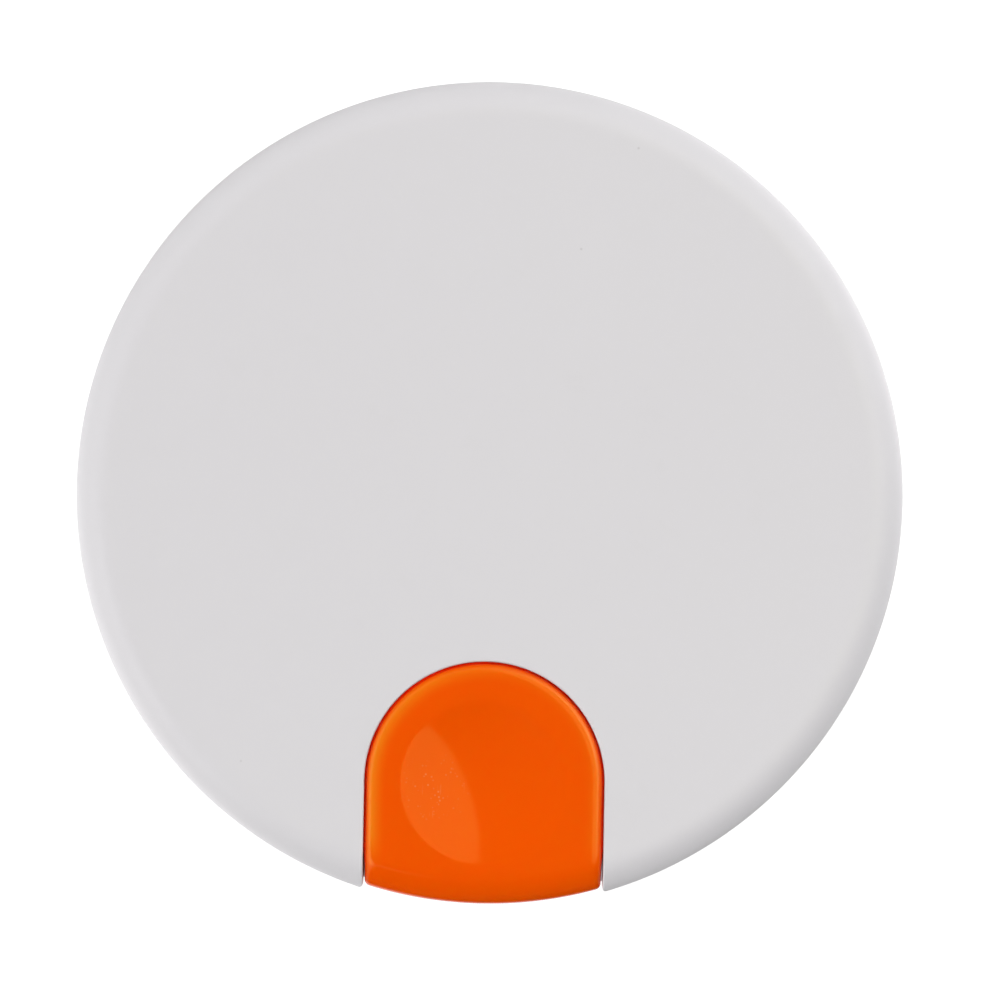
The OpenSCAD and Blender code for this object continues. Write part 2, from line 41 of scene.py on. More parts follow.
NOTCH_W = 29.0                    # half width of the lid's notch, and the radius of its round end
ARCH_Y = -69.2                    # centre of the notch's and the key's round ends, and of the thumb dish
KEY_W = 28.5                      # half width of the key
KEY_R = 99.0                      # radius of its outer end, about the case's axis
KEY_EDGE = 2.4                    # width of its round top edge, in plan
KEY_FALL = 1.3                    # height of that edge
KEY_PIN = (-54.0, 20.0)           # y and z of the key's pin
SPRING_Y = -82.0                  # the key's spring
HINGE = (0.0, 95.0, 19.5)
AXLE_Y = 27.0                     # the spool's axle, on x = 0
SCREWS = [(76.0, a) for a in (35, 145, 215, 325)]    # distance and angle of the signal panel's screws

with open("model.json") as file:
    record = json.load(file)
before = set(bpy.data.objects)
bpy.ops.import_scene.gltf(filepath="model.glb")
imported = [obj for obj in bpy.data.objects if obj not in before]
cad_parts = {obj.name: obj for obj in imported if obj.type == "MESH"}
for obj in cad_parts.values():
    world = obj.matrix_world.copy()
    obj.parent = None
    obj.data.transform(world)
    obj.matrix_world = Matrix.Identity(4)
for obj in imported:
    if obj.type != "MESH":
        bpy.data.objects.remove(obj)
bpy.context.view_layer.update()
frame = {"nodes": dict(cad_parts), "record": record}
NODES = frame["nodes"]


# ---------------------------------------------------------------- shader helpers

class Nodes:
    """Short calls for the nodes of one shader tree."""

    def __init__(self, tree):
        self.tree = tree

    def add(self, kind, inputs=(), **settings):
        node = self.tree.nodes.new("ShaderNode" + kind)
        for name, value in settings.items():
            setattr(node, name, value)
        for name, value in dict(inputs).items():
            self.feed(node.inputs[name], value)
        return node

    def feed(self, socket, value):
        """Links an output to a socket, or sets a plain value on it."""
        if isinstance(value, bpy.types.NodeSocket):
            self.tree.links.new(value, socket)
        else:
            socket.default_value = value

    def ramp(self, value, low, high, start=0.0, end=1.0, shape="LINEAR"):
        """Maps value from low..high to start..end, clamped."""
        inputs = {"Value": value, "From Min": low, "From Max": high, "To Min": start, "To Max": end}
        return self.add("MapRange", inputs, interpolation_type=shape).outputs["Result"]

    def math(self, operation, a, b=0.0):
        return self.add("Math", {0: a, 1: b}, operation=operation).outputs[0]

    def times(self, a, b):
        return self.math("MULTIPLY", a, b)


class Shader(Nodes):
    """A Principled material and what feeds it."""

    def __init__(self, name, **constants):
        self.material = bpy.data.materials.new(name)
        self.material.use_nodes = True
        super().__init__(self.material.node_tree)
        self.bsdf = self.tree.nodes["Principled BSDF"]
        for socket, value in constants.items():
            self.bsdf.inputs[socket.replace("_", " ")].default_value = value

    def place(self, scale=(1, 1, 1)):
        """Object coordinates, so a pattern keeps its real size in metres and rides with its piece."""
        coordinates = self.add("TexCoord")
        mapping = self.add("Mapping", {"Vector": coordinates.outputs["Object"], "Scale": scale})
        return mapping.outputs["Vector"]

    def noise(self, scale, detail=4.0, roughness=0.5, vector=None, distortion=0.0):
        node = self.add("TexNoise", {
            "Vector": vector if vector else self.place(), "Scale": scale, "Detail": detail,
            "Roughness": roughness, "Distortion": distortion})
        return node.outputs["Fac"]

    def cells(self, scale, feature="F1", vector=None, randomness=1.0):
        inputs = {"Vector": vector if vector else self.place(), "Scale": scale, "Randomness": randomness}
        node = self.add("TexVoronoi", inputs, feature=feature)
        return node.outputs["Distance"]

    def distance(self, x, y):
        """Length of a vector with those two parts."""
        return self.math("SQRT", self.math("ADD", self.math("POWER", x, 2.0), self.math("POWER", y, 2.0)))

    def mix(self, factor, a, b):
        node = self.add("Mix", data_type="RGBA")
        self.feed(node.inputs["Factor"], factor)
        self.feed(node.inputs[6], a)
        self.feed(node.inputs[7], b)
        return node.outputs[2]

    def bump(self, height, distance, strength=1.0, under=None):
        node = self.add("Bump", {"Height": height, "Distance": distance, "Strength": strength})
        if under:
            self.feed(node.inputs["Normal"], under)
        return node.outputs["Normal"]

    def finish(self, color=None, roughness=None, normal=None):
        if color is not None:
            self.feed(self.bsdf.inputs["Base Color"], color)
        if roughness is not None:
            self.feed(self.bsdf.inputs["Roughness"], roughness)
        if normal is not None:
            self.feed(self.bsdf.inputs["Normal"], normal)
        return self.material


def rgb(r, g, b):
    return (r, g, b, 1.0)


# ---------------------------------------------------------------- materials

def shell_white():
    """Moulded white plastic: a fine spark-eroded grain, faint clouding, and a few specks of dust."""
    s = Shader("shell_white", Roughness=0.5, IOR=1.46)
    cloud = s.noise(14, detail=3)
    grain = s.noise(2600, detail=2)
    grime = s.noise(90, detail=6, roughness=0.6)
    specks = s.cells(52)
    speck = s.ramp(specks, 0.0, 0.022, 1.0, 0.0)
    rare = s.ramp(s.noise(21, detail=0), 0.62, 0.66)
    tone = s.mix(cloud, rgb(0.747, 0.737, 0.754), rgb(0.761, 0.752, 0.767))
    tone = s.mix(s.ramp(grime, 0.62, 0.8, 0.0, 0.12), tone, rgb(0.66, 0.65, 0.64))
    tone = s.mix(s.times(speck, s.times(rare, 0.35)), tone, rgb(0.22, 0.2, 0.18))
    rough = s.ramp(s.noise(160, detail=5), 0.3, 0.7, 0.42, 0.56)
    return s.finish(tone, rough, s.bump(grain, 0.00002, 0.5))


def key_orange():
    """Glossy orange plastic with a painted highlight band towards its edges and painted deep red shade at
    its side edges, with faint ripple, and dust in the dish.
    """
    s = Shader("key_orange", Roughness=0.1, IOR=1.42, Subsurface_Weight=0.25, Subsurface_Scale=0.002)
    s.bsdf.inputs["Subsurface Radius"].default_value = (1.0, 0.22, 0.04)
    s.bsdf.inputs["Specular Tint"].default_value = rgb(1.0, 0.80, 0.28)
    tone = s.mix(s.noise(30, detail=2), rgb(0.985, 0.098, 0.0003), rgb(1.0, 0.109, 0.0004))
    # painted highlight: a lighter band inside the side walls and the round end, stronger at the left, gone
    # at the outer end
    place = s.add("SeparateXYZ", {0: s.place()})
    x, y = place.outputs["X"], place.outputs["Y"]
    past = s.math("MAXIMUM", s.math("SUBTRACT", y, ARCH_Y * MM), 0.0)
    reach = s.distance(x, past)
    painted_highlight = s.math("POWER", s.ramp(reach, (KEY_W - 4.8) * MM, (KEY_W - 1.6) * MM), 1.6)
    painted_highlight = s.times(painted_highlight, s.ramp(reach, (KEY_W - 1.2) * MM, (KEY_W - 0.2) * MM, 1.0, 0.0))
    painted_highlight = s.times(painted_highlight, s.ramp(s.distance(x, y), 0.087, 0.094, 1.0, 0.0))
    painted_highlight = s.times(painted_highlight, s.ramp(x, -0.027, 0.004, 0.9, 0.3))
    tone = s.mix(painted_highlight, tone, rgb(1.0, 0.24, 0.008))
    # painted shade: the side edges and the lip in the gap between key and lid are tinted deep red, standing
    # in for the shaded gap
    painted_gap_shade = s.times(s.ramp(reach, (KEY_W - 0.45) * MM, (KEY_W + 0.1) * MM),
                   s.ramp(reach, (KEY_W + 1) * MM, (KEY_W + 2) * MM, 1.0, 0.0))
    tone = s.mix(painted_gap_shade, tone, rgb(1.0, 0.02, 0.0002))
    # dust and hairlines in the left of the dish
    offset = s.add("VectorMath", {0: s.place(), 1: (-0.0125, -0.0712, 0.035)}, operation="DISTANCE")
    patch = s.ramp(offset.outputs["Value"], 0.0045, 0.0095, 1.0, 0.03)
    dust = s.ramp(s.cells(900), 0.04, 0.3, 1.0, 0.0)
    dust = s.times(dust, s.ramp(s.noise(420, detail=2), 0.44, 0.54))
    hair = s.ramp(s.noise(1500, detail=1, vector=s.place(scale=(1, 0.07, 1))), 0.64, 0.72, 0.0, 0.5)
    dust = s.math("MAXIMUM", dust, s.times(hair, s.ramp(s.noise(240), 0.45, 0.6)))
    tone = s.mix(s.times(s.times(dust, patch), 0.45), tone, rgb(0.98, 0.40, 0.18))
    rough = s.ramp(s.noise(220, detail=5), 0.35, 0.75, 0.07, 0.14)
    return s.finish(tone, rough, s.bump(s.noise(60, detail=1), 0.00012, 0.25))


def closed_foam():
    """Dark closed-cell foam: small round cells and a soft, slightly dusty skin."""
    s = Shader("closed_foam", Roughness=0.9, Sheen_Weight=0.25, Sheen_Roughness=0.6)
    cell = s.cells(1500)
    coarse = s.noise(500, detail=4)
    tone = s.mix(s.ramp(cell, 0.1, 0.6), rgb(0.022, 0.024, 0.027), rgb(0.042, 0.045, 0.049))
    tone = s.mix(s.ramp(s.noise(45), 0.5, 0.75, 0.0, 0.35), tone, rgb(0.07, 0.072, 0.074))
    normal = s.bump(cell, 0.00012, 0.7)
    return s.finish(tone, None, s.bump(coarse, 0.0002, 0.35, normal))


def seal_rubber():
    s = Shader("seal_rubber", Roughness=0.6)
    tone = s.mix(s.noise(130), rgb(0.012, 0.012, 0.013), rgb(0.024, 0.024, 0.026))
    return s.finish(tone, s.ramp(s.noise(400), 0.3, 0.7, 0.5, 0.7), s.bump(s.noise(1800), 0.00003, 0.5))


def turned_steel():
    """Bright turned steel with fine lathe marks."""
    s = Shader("turned_steel", Metallic=1.0, Roughness=0.25, Anisotropic=0.4)
    marks = s.noise(700, detail=3, vector=s.place(scale=(0.12, 0.12, 9)))
    tone = s.mix(s.noise(120), rgb(0.60, 0.60, 0.61), rgb(0.72, 0.72, 0.72))
    rough = s.ramp(s.noise(300, detail=6), 0.3, 0.8, 0.18, 0.42)
    return s.finish(tone, rough, s.bump(marks, 0.000015, 0.4))


def spring_wire():
    s = Shader("spring_wire", Metallic=1.0, Roughness=0.18)
    drawn = s.noise(1500, detail=2, vector=s.place(scale=(0.3, 0.3, 3)))
    tone = s.mix(s.noise(200), rgb(0.55, 0.56, 0.58), rgb(0.70, 0.70, 0.70))
    return s.finish(tone, s.ramp(s.noise(260), 0.3, 0.7, 0.14, 0.32), s.bump(drawn, 0.00001, 0.3))


def satin_brass():
    """Stamped brass, a little darker where fingers don't polish it."""
    s = Shader("satin_brass", Metallic=1.0, Roughness=0.32)
    tarnish = s.ramp(s.noise(75, detail=6, roughness=0.62), 0.4, 0.7)
    tone = s.mix(tarnish, rgb(0.72, 0.50, 0.20), rgb(0.50, 0.33, 0.13))
    brushed = s.noise(900, detail=3, vector=s.place(scale=(0.05, 1, 1)))
    rough = s.ramp(tarnish, 0.0, 1.0, 0.26, 0.46)
    return s.finish(tone, rough, s.bump(brushed, 0.00001, 0.4))


def braided_line():
    """Waxed braid: fine diagonal plaits, with flecks of lighter fibre."""
    s = Shader("braided_line", Roughness=0.62, Sheen_Weight=0.2)
    plait = s.cells(2600, vector=s.place(scale=(1, 1, 0.6)))
    fleck = s.ramp(s.noise(1300, detail=3), 0.55, 0.7)
    tone = s.mix(fleck, rgb(0.022, 0.040, 0.020), rgb(0.075, 0.105, 0.05))
    tone = s.mix(s.ramp(plait, 0.25, 0.6, 0.0, 0.6), tone, rgb(0.01, 0.017, 0.009))
    return s.finish(tone, None, s.bump(plait, 0.0001, 0.8))


def signal_sheet():
    """Fluorescent signal sheet, embossed with small close-packed cells."""
    s = Shader("signal_sheet", Roughness=0.35, Coat_Weight=0.5, Coat_Roughness=0.12)
    cell = s.cells(330, feature="DISTANCE_TO_EDGE", randomness=0.0, vector=s.place(scale=(1, 0.8660254, 1)))
    wall_line = s.ramp(cell, 0.0, 0.09, 1.0, 0.0)
    sparkle = s.cells(2100)
    tone = s.mix(s.ramp(sparkle, 0.1, 0.6), rgb(0.96, 0.16, 0.004), rgb(0.88, 0.10, 0.002))
    tone = s.mix(s.times(wall_line, 0.55), tone, rgb(0.98, 0.34, 0.05))
    normal = s.bump(wall_line, 0.00012, 0.6)
    return s.finish(tone, s.ramp(wall_line, 0, 1, 0.3, 0.5), s.bump(sparkle, 0.00003, 0.35, normal))


def spool_nylon():
    """Glass-filled nylon: slate grey, with faint fibre flow and turning marks."""
    s = Shader("spool_nylon", Roughness=0.45)
    flow = s.noise(60, detail=5, distortion=1.5)
    fibre = s.noise(1700, detail=3, vector=s.place(scale=(1, 0.2, 1)))
    tone = s.mix(flow, rgb(0.040, 0.050, 0.062), rgb(0.055, 0.067, 0.080))
    tone = s.mix(s.ramp(fibre, 0.62, 0.75, 0.0, 0.3), tone, rgb(0.10, 0.115, 0.13))
    return s.finish(tone, s.ramp(flow, 0.3, 0.7, 0.36, 0.54), s.bump(fibre, 0.00002, 0.5))


def acetal_white():
    s = Shader("acetal_white", Roughness=0.35, Subsurface_Weight=0.05)
    tone = s.mix(s.noise(110), rgb(0.74, 0.71, 0.62), rgb(0.80, 0.78, 0.70))
    return s.finish(tone, s.ramp(s.noise(500), 0.3, 0.7, 0.28, 0.42), s.bump(s.noise(900), 0.00001, 0.4))


MATERIALS = {
    "white_shell": shell_white(), "foam": closed_foam(), "seal": seal_rubber(), "steel": turned_steel(),
    "spring_steel": spring_wire(), "brass": satin_brass(), "line": braided_line(), "signal": signal_sheet(),
    "key_orange": key_orange(), "spool_grey": spool_nylon(), "washer": acetal_white(),
}
SLOT = {p["node"]: p["material_slot"] for p in frame["record"]["subparts"]}
for name, node in NODES.items():
    node.data.materials.clear()
    node.data.materials.append(MATERIALS[SLOT[name]])


# ---------------------------------------------------------------- mesh helpers

def turns(count):
    """Evenly spaced angles once round."""
    return [2 * math.pi * i / count for i in range(count)]


def polar(r, angle, cx=0, cy=0):
    return (cx + r * math.cos(angle), cy + r * math.sin(angle))


def lying(x, y, z):
    """Turns a shape made along Z to lie along X, and moves it to a place."""
    return Matrix.Translation((x, y, z)) @ Matrix.Rotation(math.pi / 2, 4, "Y")


def build(name, points, faces, body, slot, replaces=(), smooth_angle=40):
    """A piece from points in millimetres: cleaned, shaded smooth below the angle, riding on its body."""
    mesh = bpy.data.meshes.new(name)
    mesh.from_pydata([(x * MM, y * MM, z * MM) for x, y, z in points], [], faces)
    work = bmesh.new()
    work.from_mesh(mesh)
    bmesh.ops.remove_doubles(work, verts=work.verts, dist=1e-6)
    bmesh.ops.dissolve_degenerate(work, edges=work.edges, dist=1e-7)
    bmesh.ops.recalc_face_normals(work, faces=work.faces)
    work.to_mesh(mesh)
    work.free()
    mesh.materials.append(MATERIALS[slot])
    mesh.shade_smooth()
    mesh.set_sharp_from_angle(angle=math.radians(smooth_angle))
    piece = bpy.data.objects.new(name, mesh)
    bpy.context.scene.collection.objects.link(piece)
    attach(piece, body)
    if replaces:
        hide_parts(*replaces)
    return piece


class Solid:
    """Collects closed shells in millimetres for one piece."""

    def __init__(self):
        self.points = []
        self.faces = []

    def skin(self, loops, first="face", last="face"):
        """Quads between loops of equal length, whose ends get a face, stay open, or join in a ring."""
        base = len(self.points)
        count = len(loops[0])
        for loop in loops:
            self.points.extend(loop)
        for a in range(len(loops) - 1):
            for i in range(count):
                j = (i + 1) % count
                low, high = base + a * count, base + (a + 1) * count
                self.faces.append((low + i, low + j, high + j, high + i))
        if first == "face":
            self.faces.append(tuple(base + i for i in reversed(range(count))))
        if last == "face":
            top = base + (len(loops) - 1) * count
            self.faces.append(tuple(top + i for i in range(count)))
        if first == "ring":
            top = base + (len(loops) - 1) * count
            for i in range(count):
                j = (i + 1) % count
                self.faces.append((top + i, top + j, base + j, base + i))
        return self

    def lathe(self, profile, segments=96, center=(0, 0), closed=True):
        """Turns a profile of (radius, z) about a vertical axis. A closed profile makes a ring."""
        loops = [[(*polar(r, t, *center), z) for t in turns(segments)] for r, z in profile]
        if closed:
            return self.skin(loops, "ring", None)
        return self.skin(loops)

    def tube(self, path, radius, sides=10, closed=False):
        """A round tube along a path, with frames carried along it so that it doesn't twist."""
        path = [Vector(p) for p in path]
        last = len(path) - 1
        normal = None
        loops = []
        for i, p in enumerate(path):
            if closed:
                tangent = path[(i + 1) % len(path)] - path[i - 1]
            else:
                tangent = path[min(i + 1, last)] - path[max(i - 1, 0)]
            tangent.normalize()
            if normal is None:
                normal = tangent.orthogonal().normalized()
            normal = (normal - tangent * normal.dot(tangent)).normalized()
            side = tangent.cross(normal)
            loops.append([tuple(p + radius * (math.cos(a) * normal + math.sin(a) * side))
                          for a in turns(sides)])
        if closed:
            return self.skin(loops, "ring", None)
        return self.skin(loops)

    def block(self, low, high, edge=0.3, steps=3):
        """A box with its edges rounded."""
        outline = rounded_rectangle(low, high, edge, steps)
        quarter = [0.5 * math.pi * k / steps for k in range(steps + 1)]
        levels = [(edge * (1 - math.sin(a)), low[2] + edge * (1 - math.cos(a))) for a in quarter]
        levels += [(edge * (1 - math.cos(a)), high[2] - edge * (1 - math.sin(a))) for a in quarter]
        return self.skin([[(x - nx * pull, y - ny * pull, z) for x, y, nx, ny in outline]
                          for pull, z in levels])

    def turned(self, matrix, start):
        """Applies a matrix, in millimetres, to the points from start on."""
        for i in range(start, len(self.points)):
            self.points[i] = tuple(matrix @ Vector(self.points[i]))
        return self

    def piece(self, name, body, slot, replaces=(), smooth_angle=40):
        return build(name, self.points, self.faces, body, slot, replaces, smooth_angle)


def rounded_rectangle(low, high, edge, steps):
    """Points (x, y, nx, ny) round a rectangle with round corners, counter-clockwise."""
    out = []
    corners = [(high[0], low[1], -90), (high[0], high[1], 0), (low[0], high[1], 90), (low[0], low[1], 180)]
    for x, y, begin in corners:
        for k in range(steps + 1):
            a = math.radians(begin + 90 * k / steps)
            nx, ny = math.cos(a), math.sin(a)
            sx = 1 if x == high[0] else -1
            sy = 1 if y == high[1] else -1
            out.append((x - sx * edge + nx * edge, y - sy * edge + ny * edge, nx, ny))
    return out


def arc(cx, cz, radius, begin, end, steps):
    """Points of an arc in a profile, angles in degrees from the +r axis towards +z."""
    return [polar(radius, math.radians(begin + (end - begin) * k / steps), cx, cz)
            for k in range(steps + 1)]


def rounded_ring(r_in, r_out, low, high, edge, steps=3):
    """Profile of a ring with a rectangular section and round edges."""
    return (arc(r_out - edge, low + edge, edge, -90, 0, steps)
            + arc(r_out - edge, high - edge, edge, 0, 90, steps)
            + arc(r_in + edge, high - edge, edge, 90, 180, steps)
            + arc(r_in + edge, low + edge, edge, 180, 270, steps))


def smooth_step(value, low, high):
    t = min(1.0, max(0.0, (value - low) / (high - low)))
    return t * t * (3 - 2 * t)


# ---------------------------------------------------------------- lid

LID_R = 100.0
CASE_H = 38.0
ROUND = 8.0                       # radius of the rim's round edge
WALL = 2.5
LID_LOW = 21.4                    # height of the lid's lower edge
NOTCH_EDGE = 0.5                  # radius of the notch's top edge
NOTCH_WALL = 2.4
CORNER = 0.9                      # plan radius where the notch meets the rim
LAND_R = 93.5                     # inner radius of the thicker band at the lower edge
BARREL = 2.5                      # outer radius of the hinge's knuckle


def notch_gap(x, y):
    """Distance from the notch's outline, positive in the lid."""
    return abs(x) - NOTCH_W if y < ARCH_Y else math.hypot(x, y - ARCH_Y) - NOTCH_W


def edge_drop(gap, edge):
    """How far a round edge lies below the face at that distance from the side wall."""
    if gap >= edge:
        return 0.0
    return edge - math.sqrt(max(0.0, edge ** 2 - (edge - max(gap, 0.0)) ** 2))


def rim_height(x, y, outer):
    """Height of the case's top face, rounded towards an outer radius."""
    past = math.hypot(x, y) - (outer - ROUND)
    return CASE_H if past <= 0 else CASE_H - ROUND + math.sqrt(max(0.0, ROUND ** 2 - past ** 2))


def notched_disc(r, inset, corner=CORNER):
    """Outline of a disc with the key's notch, counter-clockwise, its notch grown by inset."""
    w = NOTCH_W + inset
    cx = w + corner
    cy = -math.sqrt((r - corner) ** 2 - cx ** 2)
    to_rim = math.atan2(cy, cx)
    rim_steps, corner_steps, side_steps, arch_steps = 300, 6, 26, 84
    right = []
    for k in range(corner_steps):
        a = math.pi + (to_rim + math.pi) * k / corner_steps
        right.append(polar(corner, a, cx, cy))
    span = 2 * math.pi - 2 * (math.pi / 2 + to_rim)
    rim = [polar(r, to_rim + span * k / rim_steps) for k in range(rim_steps + 1)]
    left = [(-x, y) for x, y in reversed(right)]
    side = [(w, cy + (ARCH_Y - cy) * (k / side_steps) ** 1.3) for k in range(side_steps)]
    arch = [polar(w, math.pi * k / arch_steps, 0, ARCH_Y) for k in range(arch_steps + 1)]
    right_side = list(reversed(side[1:]))
    left_side = [(-x, y) for x, y in side[1:]]
    return right + rim + left + left_side + list(reversed(arch)) + right_side


def lid_outer_loops():
    """The lid's skin from its top face, over the rim and the notch's edge, down to its lower edge."""
    loops = []
    steps = 18
    for k in range(steps + 1):
        a = 0.5 * math.pi * k / steps
        r = LID_R - ROUND - 0.6 + (ROUND + 0.6) * math.sin(a)
        inset = 5.0 * (1 - k / steps) ** 2.2
        outline = notched_disc(r, inset)
        loops.append([(x, y, rim_height(x, y, LID_R) - edge_drop(notch_gap(x, y), NOTCH_EDGE))
                      for x, y in outline])
    top = loops[-1]
    edge = 0.4
    for part in (0.06, 0.3, 0.65, 1.0):
        loops.append([(x, y, z + (lower_edge(x, y) + edge - z) * part) for x, y, z in top])
    for a in (30, 60, 90):
        pull = edge * (1 - math.cos(math.radians(a)))
        rise = edge * (1 - math.sin(math.radians(a)))
        loops.append([(x, y, lower_edge(x, y) + rise) for x, y in notched_disc(LID_R - pull, pull)])
    return loops


def lower_edge(x, y):
    """The lid's lower edge, lifted over the hinge's knuckles."""
    if y < 0:
        return LID_LOW
    return LID_LOW + 1.3 * (1 - smooth_step(abs(x), 21.3, 23.5))


def lid_inner_loops():
    loops = [[(x, y, lower_edge(x, y)) for x, y in notched_disc(LAND_R, NOTCH_WALL)]]
    for r, z in ((LAND_R, 23.6), (LID_R - WALL, 23.8), (LID_R - WALL, 27.0)):
        loops.append([(x, y, z) for x, y in notched_disc(r, NOTCH_WALL)])
    inner_round = ROUND - WALL
    for k in range(8):
        a = 0.5 * math.pi * k / 7
        r = LID_R - ROUND + inner_round * math.cos(a)
        inset = NOTCH_WALL + 1.2 * (1 - math.cos(a))
        z = CASE_H - ROUND + inner_round * math.sin(a)
        loops.append([(x, y, z) for x, y in notched_disc(r, inset)])
    return loops


def lid():
    solid = Solid().skin(lid_outer_loops() + lid_inner_loops())
    # catch tongue under the key's top
    low, high, edge, root = 29.2, 32.8, 0.5, NOTCH_W + 1.3
    nose = NOTCH_W - 2.0 + edge
    tongue = (arc(nose, low + edge, edge, 270, 180, 3) + arc(nose, high - edge, edge, 180, 90, 3)
              + [(root, high), (root, low)])
    half = 10
    span = math.asin(half / NOTCH_W)
    steps = 16
    bearings = [math.pi / 2 - span + 2 * span * k / steps for k in range(steps + 1)]
    solid.skin([[(*polar(r, a, 0, ARCH_Y), z) for r, z in tongue] for a in bearings])
    # screw bosses, and the hinge knuckle with its web
    for r, a in SCREWS:
        boss = [(3.4, 35.6), (3.05, 35.1), (3.0, 33.0), (1.25, 33.0), (1.25, 35.6)]
        solid.lathe(boss, 32, polar(r, math.radians(a)))
    start = len(solid.points)
    solid.lathe([(2.2, -6), (BARREL, -5.7), (BARREL, 5.7), (2.2, 6), (1.25, 6), (1.25, -6)], 40)
    solid.turned(lying(*HINGE), start)
    _, y, z = HINGE
    solid.block((-5.9, y - 2.3, z + 1.6), (5.9, y + 2.4, LID_LOW + 2.2), 0.4)
    return solid.piece("lid_cover", "lid", "white_shell", ("lid_shell",), 35)


# ---------------------------------------------------------------- thumb key

KEY_CORNER = 1.3                  # plan radius of its outer corners
KEY_LOW = 14.0
KEY_WALL = 2.4
KEY_TOP_T = 6.0                   # thickness of its top
DISH_R = 19.8
DISH_DEPTH = 2.8
LIP = 0.44                        # reach of the lip round the key's sides, below its top edge
DRAFT = 0.055                     # slope of the outer end's wall
WINDOW_SPAN = math.radians(23.5)  # half of the catch window's width, as seen from the round end's centre
WINDOW_DEPTH = 2.05               # all but a thin skin of the wall


def key_gap(x, y):
    """Signed distance to the key's outline, negative inside, with its outer corners rounded."""
    if y >= ARCH_Y:
        return math.hypot(x, y - ARCH_Y) - KEY_W
    a = abs(x) - KEY_W + KEY_CORNER
    b = math.hypot(x, y) - KEY_R + KEY_CORNER
    return math.hypot(max(a, 0), max(b, 0)) + min(max(a, b), 0) - KEY_CORNER


def key_reach(angle, inset):
    """Distance from the round end's centre to the outline inset by that much, along an angle."""
    dx, dy = math.cos(angle), math.sin(angle)
    low, high = 0.0, 50.0
    for _ in range(44):
        mid = (low + high) / 2
        if key_gap(dx * mid, ARCH_Y + dy * mid) < -inset:
            low = mid
        else:
            high = mid
    return low


def key_angles(count):
    """Directions whose outline points are evenly spaced, closer at the outer corners."""
    fine = turns(4000)
    points = [(key_reach(a, 0), a) for a in fine]
    spots = [polar(r, a, 0, ARCH_Y) for r, a in points]
    corner = (KEY_W - KEY_CORNER, -math.sqrt((KEY_R - KEY_CORNER) ** 2 - (KEY_W - KEY_CORNER) ** 2))
    length = [0.0]
    for i in range(1, len(spots) + 1):
        p, q = spots[i - 1], spots[i % len(spots)]
        step = math.dist(p, q)
        near = math.dist((abs(p[0]), p[1]), corner)
        length.append(length[-1] + step * (5.0 if near < 2.2 else 1.0))
    out = []
    j = 0
    for k in range(count):
        want = length[-1] * k / count
        while length[j + 1] < want:
            j += 1
        out.append(fine[j])
    return out


def dish_drop(rho):
    """Depth of the thumb dish: a spherical cap whose rim is blended over a couple of millimetres."""
    sphere = (DISH_R ** 2 + DISH_DEPTH ** 2) / (2 * DISH_DEPTH)
    cap = math.sqrt(max(0.0, sphere ** 2 - rho ** 2)) - (sphere - DISH_DEPTH)
    blend = 0.14
    return 0.5 * (cap + math.sqrt(cap ** 2 + blend ** 2)) if rho < DISH_R + 9 else 0.0


def key_height(x, y, gap):
    edge = edge_drop(gap, KEY_EDGE) * KEY_FALL / KEY_EDGE
    return rim_height(x, y, KEY_R) - edge - dish_drop(math.hypot(x, y - ARCH_Y))


